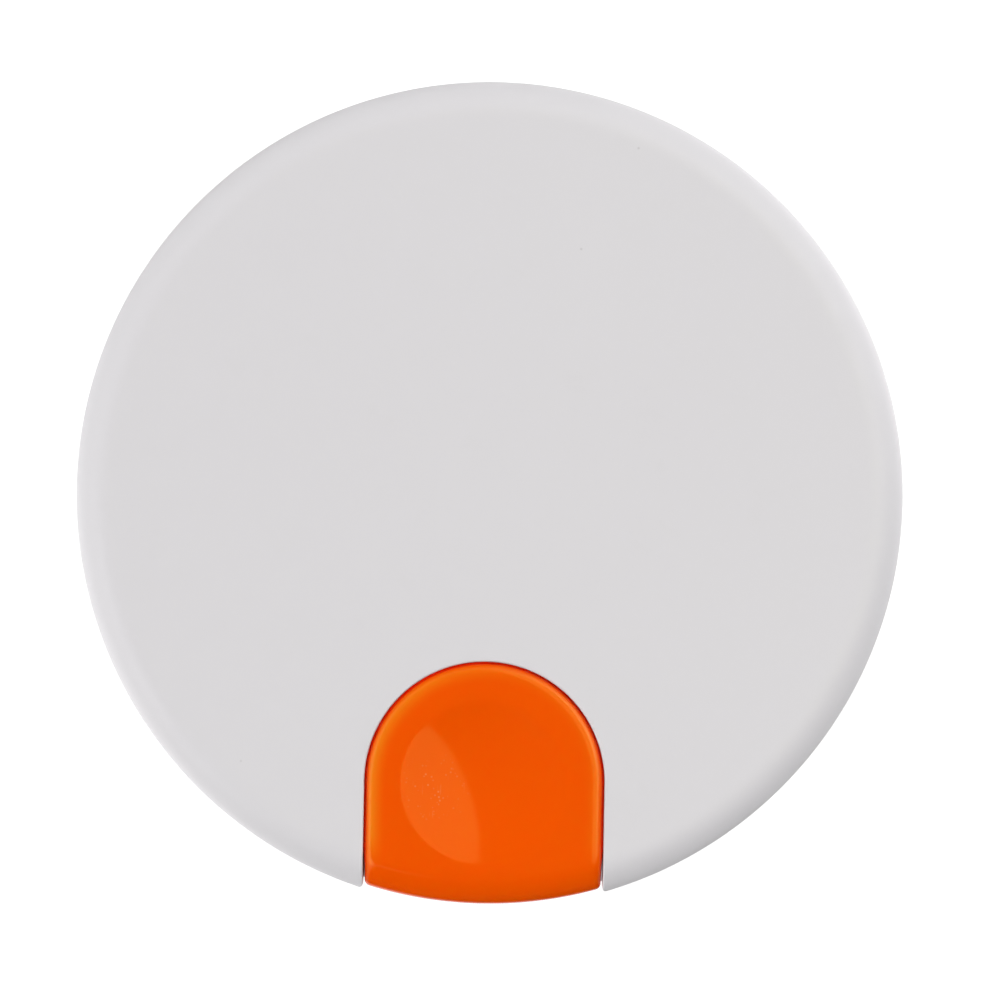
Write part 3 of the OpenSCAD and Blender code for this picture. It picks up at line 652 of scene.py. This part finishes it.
def key():
    angles = key_angles(288)

    def ring(reach_of, z_of):
        out = []
        for a in angles:
            x, y = polar(reach_of(a), a, 0, ARCH_Y)
            out.append((x, y, z_of(x, y)))
        return out

    def flat(x, y):
        return key_height(x, y, KEY_EDGE)

    loops = []
    dish_rings = 26
    inner = DISH_R + 2.2
    for k in range(1, dish_rings + 1):
        rho = inner * k / dish_rings
        loops.append(ring(lambda a: rho, flat))
    outer = {a: key_reach(a, KEY_EDGE) for a in angles}
    for k in range(1, 13):
        part = (k / 12) ** 0.8
        loops.append(ring(lambda a: inner + (outer[a] - inner) * part, flat))
    for k in range(1, 9):
        gap = KEY_EDGE * (1 - math.sin(0.5 * math.pi * k / 8))
        loops.append(ring(lambda a: key_reach(a, gap), lambda x, y: key_height(x, y, gap)))
    side = loops[-1]

    def wall(out, z_of, window=False):
        """A ring round the key, out from its side wall. The outer end has no lip and draws in downwards.
        A window is let into the wall at the round end, for the lid's catch tongue."""
        result = []
        for (x, y, z), a in zip(side, angles):
            r = math.hypot(x, y)
            here = out * (1 - smooth_step(r, 88, 96)) if out > 0 else out
            if window and abs(a - math.pi / 2) < WINDOW_SPAN:
                here = -WINDOW_DEPTH
            elif out > -1:
                here -= DRAFT * max(0.0, CASE_H - ROUND - z_of(z)) * smooth_step(r, 92, 98.5)
            result.append((*polar(key_reach(a, -here), a, 0, ARCH_Y), z_of(z)))
        return result

    for out, drop in ((0, 0.1), (LIP * 0.4, 0.15), (LIP, 0.3), (LIP, 2.5)):
        loops.append(wall(out, lambda z: z - drop))
    for level, window in ((33.4, False), (33.2, True), (27.2, True), (27.0, False)):
        drop = 2.52 + 0.03 * (33.4 - level)
        loops.append(wall(LIP, lambda z: min(level, z - drop), window))
    for out, level, drop in ((LIP, 24.4, 3), (0, 23.8, 3.6)):
        loops.append(wall(out, lambda z: min(level, z - drop)))
    under = CASE_H - KEY_TOP_T
    for out, level in ((0, KEY_LOW + 0.5), (-0.15, KEY_LOW + 0.15), (-0.5, KEY_LOW),
                       (-KEY_WALL + 0.3, KEY_LOW), (-KEY_WALL, KEY_LOW + 0.3), (-KEY_WALL, under - 0.6),
                       (-KEY_WALL - 1.2, under)):
        loops.append(wall(out, lambda z: level))
    solid = Solid().skin(loops, first=None, last=None)
    count = len(angles)
    top = len(solid.points)
    last = top - count
    solid.points += [(0, ARCH_Y, flat(0, ARCH_Y)), (0, ARCH_Y, under)]
    for i in range(count):
        j = (i + 1) % count
        solid.faces += [(top, j, i), (top + 1, last + i, last + j)]
    # ribs on the pin, the tail in the trip lever's slot, and the spring's upper post
    pin_y, pin_z = KEY_PIN
    half = 1.75
    for x in (-13.75, 13.75):
        solid.block((x - half, pin_y - 3.6, pin_z + 1.8), (x + half, pin_y + 3.6, 32.5), 0.3)
        start = len(solid.points)
        solid.lathe([(4, -half), (4, half), (1.55, half), (1.55, -half)], 36)
        solid.turned(lying(x, pin_y, pin_z), start)
    tail_y = ARCH_Y + KEY_W - KEY_WALL
    solid.block((-2.5, tail_y, 6.5), (2.5, tail_y + 2, 15.5), 0.25)
    solid.lathe([(1.5, 28), (1.9, 28.4), (1.9, 32.5)], 32, (0, SPRING_Y), closed=False)
    return solid.piece("thumb_key", "key", "key_orange", ("catch_key",), 32)


lid()
key()


# ---------------------------------------------------------------- base and its fittings

def soften(name, width):
    """Rounds the edges of a CAD node that stays. Its flat facets are merged first."""
    node = NODES[name]
    weld = node.modifiers.new("weld", "WELD")
    weld.merge_threshold = 2e-6
    flats = node.modifiers.new("flats", "DECIMATE")
    flats.decimate_type = "DISSOLVE"
    flats.angle_limit = math.radians(0.4)
    edge = node.modifiers.new("edge", "BEVEL")
    edge.width = width * MM
    edge.segments = 2
    edge.limit_method = "ANGLE"
    edge.angle_limit = math.radians(32)
    edge.use_clamp_overlap = True
    edge.harden_normals = True
    edge.miter_outer = "MITER_ARC"


def foam_ring():
    """The foam gasket under the base, with cut faces that wander a little."""
    solid = Solid()
    low, high, r_in, r_out, edge = 0.0, 4.0, 78.0, 91.0, 1.3
    profile = (arc(r_out - edge, low + edge, edge, -90, 0, 5)
               + [(r_out, 2.2), (r_out, 3.1), (r_out, high), (r_in, high), (r_in, 3.1), (r_in, 2.2)]
               + arc(r_in + edge, low + edge, edge, 180, 270, 5)
               + [(r_in + 3.5, low), (84.5, low), (r_out - 3.5, low)])
    loops = []
    for r, z in profile:
        side = -1 if r < 84 else 1
        loop = []
        for t in turns(240):
            wave = 0.10 * math.sin(7 * t + r) * math.sin(11 * t + 0.6 * z) - 0.11
            wander = side * wave if 0.6 < z < 3.5 else 0
            loop.append((*polar(r + wander, t), z))
        loops.append(loop)
    solid.skin(loops, "ring", None)
    solid.piece("foam_gasket", "base", "foam", ("foam_ring",), 50)


def rim_seal(side, name, node):
    """A D-section seal strip let into the rim, from the key's well to the hinge bay."""
    middle, half, low, high = 94.9, 0.88, 20.02, 21.33
    crown = arc(middle, high - half, half, 0, 180, 10)[1:-1]
    section = ([(middle + half, low), (middle + half, high - 0.75)] + crown
               + [(middle - half, high - 0.75), (middle - half, low)])
    front, back = -math.acos(32.2 / middle), math.acos(34.3 / middle)
    steps = 110
    loops = []
    for k in range(steps + 1):
        t = front + (back - front) * k / steps
        loops.append([(side * r * math.cos(t), r * math.sin(t), z) for r, z in section])
    Solid().skin(loops).piece(name, "base", "seal", (node,), 45)


def guide_bush():
    """The fairlead: a flanged bush with round mouths, pressed into the floor."""
    x, y = -50, -14
    bore, neck, flange, low, high = 3.5, 5.1, 7.7, 1.9, 6.9
    profile = (arc(bore + 0.8, high - 0.8, 0.8, 180, 90, 8) + arc(flange - 0.5, high - 0.5, 0.5, 90, 0, 5)
               + [(flange, 5.56), (flange - 0.06, 5.5), (neck, 5.5), (neck, 3.0), (flange - 0.06, 3.0)]
               + arc(flange - 0.4, low + 0.4, 0.4, 0, -90, 5)
               + arc(bore + 0.8, low + 0.8, 0.8, 270, 180, 8))
    Solid().lathe(profile, 96, (x, y)).piece("guide_bush", "base", "steel", ("fairlead",), 30)


def bars():
    """The hinge's and the key's pins, with chamfered ends and a clip groove near each."""
    for name, node, r, half, place in (("hinge_rod", "hinge_pin", 1.2, 20, HINGE),
                                       ("key_rod", "key_pin", 1.5, 16, (0, *KEY_PIN))):
        groove = [(r, half - 1.3), (r - 0.3, half - 1.28), (r - 0.3, half - 0.82), (r, half - 0.8)]
        profile = [(AXIS, -half), (r - 0.25, -half), (r, -half + 0.25)]
        profile += [(a, -b) for a, b in reversed(groove)] + groove
        profile += [(r, half - 0.25), (r - 0.25, half), (AXIS, half)]
        solid = Solid().lathe(profile, 40, closed=False)
        solid.turned(lying(*place), 0)
        solid.piece(name, "base", "steel", (node,), 30)


WIRE_R = 0.35                     # radius of the key's and the drag's spring wire


def coil(r, count, height, steps=40, dead=0.0):
    """Points of a helix. Dead turns at each end lie close together, as on a compression spring."""
    points = []
    total = int(count * steps)
    flat = dead / count
    closed = 2.1 * WIRE_R * dead / height
    for i in range(total + 1):
        part = i / total
        if part < flat:
            z = closed * part / flat
        elif part > 1 - flat:
            z = 1 - closed * (1 - part) / flat
        else:
            z = closed + (1 - 2 * closed) * (part - flat) / (1 - 2 * flat)
        points.append((*polar(r, 2 * math.pi * count * part), height * z))
    return points


def springs():
    """The hinge's torsion springs, the key's compression spring and the drag's spring."""
    _, y, z = HINGE
    reach, inner, length = 1.9, 6.6, 5.6
    for side, name, node in ((1, "hinge_coil_right", "hinge_spring_right"),
                             (-1, "hinge_coil_left", "hinge_spring_left")):
        path = [(side * inner, y + d, z - reach + 0.02 * d) for d in (1.5, 1.0, 0.5)]
        path += [(side * (inner + c), y - b, z - a) for a, b, c in coil(reach, 7, length)]
        path += [(side * (inner + length), y - d, z - reach) for d in (0.6, 1.4, 2.6, 4.2, 5.8, 6.8)]
        Solid().tube(path, 0.3, 10).piece(name, "base", "spring_steel", (node,), 50)
    seat, low, high = 5.5, 5.85, 31.6
    path = [(x, y + SPRING_Y, z + low) for x, y, z in coil(3.85, 8, high - low, dead=1.0)]
    spring = Solid().tube(path, WIRE_R, 10).piece("key_coil", "base", "spring_steel", ("key_spring",), 50)
    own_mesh(spring)
    path = [(x, y + AXLE_Y, z + 26.15) for x, y, z in coil(4.6, 1.5, 1.4, 48)]
    Solid().tube(path, WIRE_R, 12).piece("drag_coil", "base", "spring_steel", ("drag_spring",), 50)


def axle():
    """The spool's axle: a headed stud whose upper end is threaded for the drag knob."""
    profile = [(AXIS, 3.3), (4.7, 3.3), (5, 3.6), (5, 5.0), (4.7, 5.3), (3.2, 5.3), (3.0, 5.5), (3.0, 26.7)]
    profile.append((2.7, 27.0))
    for thread in range(6):
        z = 27.0 + 0.5 * thread
        profile += [(2.5, z + 0.15), (2.14, z + 0.35)]
    profile += [(2.45, 30.2), (2.0, 30.6), (AXIS, 30.6)]
    solid = Solid().lathe(profile, 64, (0, AXLE_Y), closed=False)
    solid.piece("axle_stud", "base", "steel", ("spool_axle",), 25)


def washers():
    for name, node, body, slot, r_in, r_out, low, high, edge in (
            ("glide_washer", "thrust_washer", "base", "washer", 3.05, 6.5, 8.2, 9.15, 0.2),
            ("pressure_washer", "drag_washer", "base", "steel", 3.05, 7.5, 24.7, 25.7, 0.2),
            ("bronze_bush", "spool_bush", "spool", "brass", 3.05, 4.5, 9.2, 24.6, 0.25)):
        solid = Solid().lathe(rounded_ring(r_in, r_out, low, high, edge), 80, (0, AXLE_Y))
        solid.piece(name, body, slot, (node,), 40)


def keeper():
    """Headed post that holds the line's swivel."""
    profile = [(AXIS, 4.0), (1.5, 4.0), (1.5, 16.8), (1.7, 17.1), (2.7, 17.75)]
    profile += arc(2.5, 18.2, 0.5, -30, 80, 5) + [(1.6, 18.76), (AXIS, 18.8)]
    solid = Solid().lathe(profile, 56, KEEPER.xy, closed=False)
    solid.piece("keeper_post", "base", "steel", ("line_keeper",), 35)


# ---------------------------------------------------------------- line and swivel

SPOOL = Vector((0, AXLE_Y, 0))
KEEPER = Vector((-78, -22, 14))
LINE_R = 0.6
RUN_R = 39.0                      # distance of the line from the axle where it leaves the winding
SWIVEL_L = 13.0
TO_KEEPER = Vector((KEEPER.x - SPOOL.x, KEEPER.y - SPOOL.y))
LEAVE = math.atan2(TO_KEEPER.y, TO_KEEPER.x) - math.acos(RUN_R / TO_KEEPER.length)
LEAVE_AT = Vector((*polar(RUN_R, LEAVE, *SPOOL.xy), 17.8))
RUN_DIR = Vector((KEEPER.x - LEAVE_AT.x, KEEPER.y - LEAVE_AT.y, 0)).normalized()
RUN_END = KEEPER - SWIVEL_L * RUN_DIR


def line():
    """The run from the winding to the swivel's eye, with the knot's wraps."""
    solid = Solid()
    lift = Vector((0, 0, 1))
    across = RUN_DIR.cross(lift)
    steps = 40
    solid.tube([LEAVE_AT.lerp(RUN_END, i / steps) for i in range(steps + 1)], LINE_R, 12)
    knot = RUN_END - RUN_DIR * 3.4
    wraps = []
    count, per_turn = 100, 20
    for i in range(count + 1):
        a = 2 * math.pi * i / per_turn
        knot_at = knot + RUN_DIR * (3.0 * i / count) + lift * 0.16
        wraps.append(knot_at + 0.62 * (math.cos(a) * across + math.sin(a) * lift))
    solid.tube(wraps, 0.3, 8)
    eye = [RUN_END + RUN_DIR * (0.35 + 0.75 * math.cos(a)) + across * (0.75 * math.sin(a))
           for a in turns(24)]
    solid.tube(eye, 0.3, 8, closed=True)
    solid.piece("line_lead", "base", "line", ("line_run",), 60)


def winding():
    """The line on the spool: turns side by side in a crowned ring."""
    low, high, inner, outer, crown, corner = 12.95, 22.65, 20.1, 37.2, 0.8, 1.2
    pitch = 2 * LINE_R
    outline = ([(inner + (outer - corner - inner) * k / 100, high) for k in range(101)]
               + arc(outer - corner, high - corner, corner, 90, 0, 10)[1:]
               + [(outer, high - corner - (high - low - 2 * corner) * k / 50) for k in range(1, 51)]
               + arc(outer - corner, low + corner, corner, 0, -90, 10)[1:]
               + [(outer - corner - (outer - corner - inner) * k / 100, low) for k in range(1, 101)])
    run = [0.0]
    for p, q in zip(outline, outline[1:]):
        run.append(run[-1] + math.dist(p, q))
    segments = 150
    loops = []
    for k, (r, z) in enumerate(outline):
        p, q = outline[max(k - 1, 0)], outline[min(k + 1, len(outline) - 1)]
        nr, nz = -(q[1] - p[1]), q[0] - p[0]
        size = math.hypot(nr, nz)
        nr, nz = -nr / size, nz / size
        if k in (0, len(outline) - 1):
            nr, nz = 0.0, (1.0 if k == 0 else -1.0)
        full = crown * (1 - ((z - (low + high) / 2) / ((high - low) / 2)) ** 2) if r > outer - 0.01 else 0.0
        loop = []
        for i, t in enumerate(turns(segments)):
            phase = (run[k] / pitch + i / segments) % 1.0
            dip = 0.42 * (1 - math.sqrt(max(0.0, 1 - (2 * phase - 1) ** 2)))
            loop.append((*polar(r + full - abs(nr) * dip, t, *SPOOL.xy), z - nz * dip))
        loops.append(loop)
    Solid().skin(loops, "ring", None).piece("wound_line", "spool", "line", ("line_winding",), 70)


def swivel():
    """Barrel swivel: an eye for the knot, a barrel between two beads, and a ring over the keeper."""
    along = -RUN_DIR
    place = Matrix.Translation(KEEPER) @ Matrix.Rotation(math.atan2(along.y, along.x), 4, "Z")
    solid = Solid()
    solid.tube([(*polar(2.7, a), 0) for a in turns(40)], 0.45, 12, closed=True)
    r = 1.6
    eye = [(SWIVEL_L - r + r * math.cos(a), 0, r * math.sin(a)) for a in turns(32)]
    solid.tube(eye, 0.4, 10, closed=True)
    start = len(solid.points)
    profile = [(AXIS, 3.05), (0.6, 3.05), (0.6, 3.7), (0.95, 3.9), (1.0, 4.2), (0.7, 4.45), (1.2, 4.6),
               (1.52, 5.0), (1.6, 5.6), (1.6, 6.3), (1.48, 6.5), (1.48, 7.3), (1.6, 7.5), (1.6, 8.2),
               (1.52, 8.8), (1.2, 9.2), (0.7, 9.35), (1.0, 9.55), (0.95, 9.85), (0.6, 9.95), (0.6, 10.1),
               (AXIS, 10.1)]
    solid.lathe(profile, 40, closed=False)
    solid.turned(Matrix.Rotation(math.pi / 2, 4, "Y"), start)
    solid.turned(place, 0)
    solid.piece("barrel_swivel", "base", "brass", ("line_swivel",), 40)


# ---------------------------------------------------------------- signal panel and knobs

def signal():
    """The signal panel under the lid: a notched disc with a raised border and round screw seats."""
    r, inset, low, high, back, edge = 86.0, 3.3, 31.8, 33.0, 0.15, 0.3
    levels = [(back * (1 - math.sin(a)), high - back * (1 - math.cos(a)))
              for a in (math.radians(d) for d in (0, 45, 90))]
    levels += [(edge * (1 - math.cos(a)), low + edge * (1 - math.sin(a)))
               for a in (math.radians(d) for d in (0, 30, 60, 90))]
    levels += [(2.6, low), (2.85, low + 0.08), (3.0, low + 0.35)]
    solid = Solid().skin([[(x, y, z) for x, y in notched_disc(r - pull, inset + pull, 3.0)]
                          for pull, z in levels])
    seat = [(1.5, 32.1), (4.4, 32.1), (4.4, 32.0)] + arc(4.2, 31.98, 0.17, 0, -90, 3) + [(1.5, 31.81)]
    for distance, a in SCREWS:
        solid.lathe(seat, 48, polar(distance, math.radians(a)))
    solid.piece("signal_disc", "lid", "signal", ("signal_panel",), 35)


def drag_knob():
    """Scalloped thumb nut with a stepped, dished top."""
    r, low, high, bore, edge = 9.5, 28.1, 31.0, 2.56, 0.6
    scallop_at, scallop_r = 11, 2.6

    def reach(a, out):
        """Distance to the scalloped outline inset by out."""
        best = r - out
        for k in range(8):
            d = math.cos(a - math.radians(45 * k))
            inside = scallop_at ** 2 * d * d - scallop_at ** 2 + (scallop_r + out) ** 2
            if inside > 0 and d > 0:
                best = min(best, scallop_at * d - math.sqrt(inside))
        return best

    def loop(out, z):
        return [(*polar(reach(a, out), a, 0, AXLE_Y), z) for a in turns(240)]

    def circle(radius, z):
        return [(*polar(radius, a, 0, AXLE_Y), z) for a in turns(240)]

    loops = [circle(bore, low + 0.3), circle(bore + 0.3, low)]
    loops += [loop(0.4, low), loop(0.1, low + 0.12), loop(0, low + 0.4)]
    for a in (0, 18, 36, 54, 72, 90):
        t = math.radians(a)
        loops.append(loop(edge * (1 - math.cos(t)), high - edge + edge * math.sin(t)))
    loops += [circle(6.3, high), circle(6.1, high - 0.08), circle(5.6, high - 0.5), circle(3.9, high - 0.5),
              circle(3.6, high - 0.4), circle(bore + 0.3, high - 0.4), circle(bore, high - 0.7)]
    Solid().skin(loops, "ring", None).piece("drag_nut", "drag", "key_orange", ("drag_knob",), 38)


def winding_knob():
    """Spinning knob on the spool's pin, with fine upright grip flutes and a domed cap."""
    center = polar(36, math.radians(30), *SPOOL.xy)
    low = 24.8
    profile = ([(1.66, low + 0.2), (1.86, low), (5.2, low)] + arc(5.2, low + 0.3, 0.3, -90, 0, 3)
               + [(5.5, low + 0.75)] + arc(5.1, low + 0.75, 0.4, 0, 70, 3)
               + [(4.35, low + 1.25), (4.12, low + 1.6), (4.1, low + 2.2), (4.12, low + 2.9)]
               + [(4.3, low + 3.25), (4.8, low + 3.5)] + arc(4.55, low + 4.45, 0.45, -20, 90, 6)
               + [(3.2, low + 4.95), (1.9, low + 5.0), (1.66, low + 4.8)])
    loops = []
    for r, z in profile:
        up = z - low
        flute = 0.16 * smooth_step(up, 1.3, 1.7) * (1 - smooth_step(up, 2.8, 3.2))
        ridge = 0.1 * smooth_step(r, 4.6, 4.9) * smooth_step(up, 3.6, 3.9) * (1 - smooth_step(up, 4.6, 4.8))
        loops.append([(*polar(r - (flute + ridge) * (0.5 + 0.5 * math.cos(24 * a)), a, *center), z)
                      for a in turns(192)])
    Solid().skin(loops, "ring", None).piece("winding_grip", "knob", "key_orange", ("winding_knob",), 38)
    pin = ([(AXIS, 22.9), (1.6, 22.9), (1.6, 29.9), (1.75, 30.0), (2.45, 30.0)]
           + arc(2.35, 30.25, 0.25, -90, 60, 4) + [(1.8, 30.68), (0.9, 30.78), (AXIS, 30.8)])
    Solid().lathe(pin, 56, center, closed=False).piece("grip_pin", "spool", "steel", ("knob_pin",), 35)


foam_ring()
rim_seal(1, "seal_strip_right", "rim_seal_right")
rim_seal(-1, "seal_strip_left", "rim_seal_left")
guide_bush()
bars()
springs()
axle()
washers()
keeper()
line()
winding()
swivel()
signal()
drag_knob()
winding_knob()
for name, width in (("base_shell", 0.35), ("hook_block", 0.3), ("lid_insulation", 0.5), ("spool", 0.35),
                    ("trip_lever", 0.12), ("trip_dog", 0.25), ("lever_screw", 0.2), ("dog_screw", 0.2)):
    soften(name, width)
for number in range(1, len(SCREWS) + 1):
    soften(f"panel_screw_{number}", 0.15)


# ---------------------------------------------------------------- floor, lights and camera

def pale_floor():
    """A white table under the object, lit from within like a light table, so that shadows stay faint."""
    s = Shader("pale_floor", Roughness=0.6, Emission_Color=rgb(1, 1, 1), Emission_Strength=0.8)
    s.finish(s.mix(s.noise(3, detail=2), rgb(0.39, 0.39, 0.39), rgb(0.41, 0.41, 0.41)))
    mesh = bpy.data.meshes.new("floor")
    half = 4.0
    corners = [(-half, -half, 0), (half, -half, 0), (half, half, 0), (-half, half, 0)]
    mesh.from_pydata(corners, [], [(0, 1, 2, 3)])
    mesh.materials.append(s.material)
    floor = bpy.data.objects.new("floor", mesh)
    floor.location.z = -0.2 * MM      # just clear of the foam's underside
    floor.visible_glossy = False
    bpy.context.scene.collection.objects.link(floor)


def studio():
    """A world shader built from each ray's direction: a dark ceiling round the camera, a bright wall below
    it that leans to two sides, and a dark flag at the lower right."""
    world = bpy.data.worlds.new("studio")
    bpy.context.scene.world = world
    world.use_nodes = True
    sky = Nodes(world.node_tree)
    direction = sky.add("TexCoord").outputs["Generated"]

    def along(*axis):
        """The ray's direction measured along an axis."""
        return sky.add("VectorMath", {0: direction, 1: axis}, operation="DOT_PRODUCT").outputs["Value"]

    up = along(0, 0, 1)
    wall = sky.ramp(up, 0.29, 0.78, 1.09, 3.96, "SMOOTHSTEP")
    ceiling = sky.ramp(up, 0.79, 0.87, 1.0, 0.015, "SMOOTHSTEP")
    sides = sky.times(along(0.389, 0.921, 0), along(0.921, -0.389, 0))
    lean = sky.math("ADD", sky.times(sides, 0.967), along(0.518, -0.8, 0))
    lean = sky.math("MAXIMUM", sky.math("ADD", lean, 1.0), 0.0)
    flag = sky.ramp(along(0.485, -0.875, 0), 0.10, 0.532, 1.0, 0.0, "SMOOTHSTEP")
    strength = sky.times(sky.times(wall, ceiling), sky.times(lean, flag))
    # a low view gets a pale backdrop above the floor's far edge
    backdrop = sky.add("LightPath").outputs["Is Camera Ray"]
    background = world.node_tree.nodes["Background"]
    sky.feed(background.inputs["Color"], rgb(1.003, 0.993, 0.9965))
    sky.feed(background.inputs["Strength"], sky.math("MAXIMUM", strength, backdrop))


def ceiling_light():
    """A large soft light that shows in reflections only, as the crescent in the key's dish."""
    width, depth, radiance = 1.416, 2.7, 1.2
    data = bpy.data.lights.new("ceiling_light", "AREA")
    data.shape = "ELLIPSE"
    data.size, data.size_y = width, depth
    data.energy = radiance * math.pi * width * depth
    data.color = (1.0, 1.0, 0.55)
    light = bpy.data.objects.new("ceiling_light", data)
    light.location = (0.9, 0.1, 1.93)
    light.rotation_euler.z = math.radians(25)
    light.visible_diffuse = False
    bpy.context.scene.collection.objects.link(light)


def camera():
    """Straight above with a long lens, rolled a little, as if the case lay slightly turned on the table."""
    height = 2.0
    rim = 0.026                   # where the case is widest
    case_on_screen = 0.8245       # the case's share of the frame's width
    data = bpy.data.cameras.new("camera")
    data.sensor_width = 36
    data.lens = data.sensor_width * case_on_screen * (height - rim) / (2 * LID_R * MM)
    data.clip_end = 20
    view = bpy.data.objects.new("camera", data)
    roll = math.radians(1.05)
    view.rotation_euler = (0, 0, roll)
    aside = Vector((0.0025, -0.0012, 0))
    view.location = Matrix.Rotation(roll, 3, "Z") @ aside + Vector((0, 0, height))
    bpy.context.scene.collection.objects.link(view)
    bpy.context.scene.camera = view


pale_floor()
studio()
ceiling_light()
camera()
bpy.context.scene.view_settings.view_transform = "Standard"
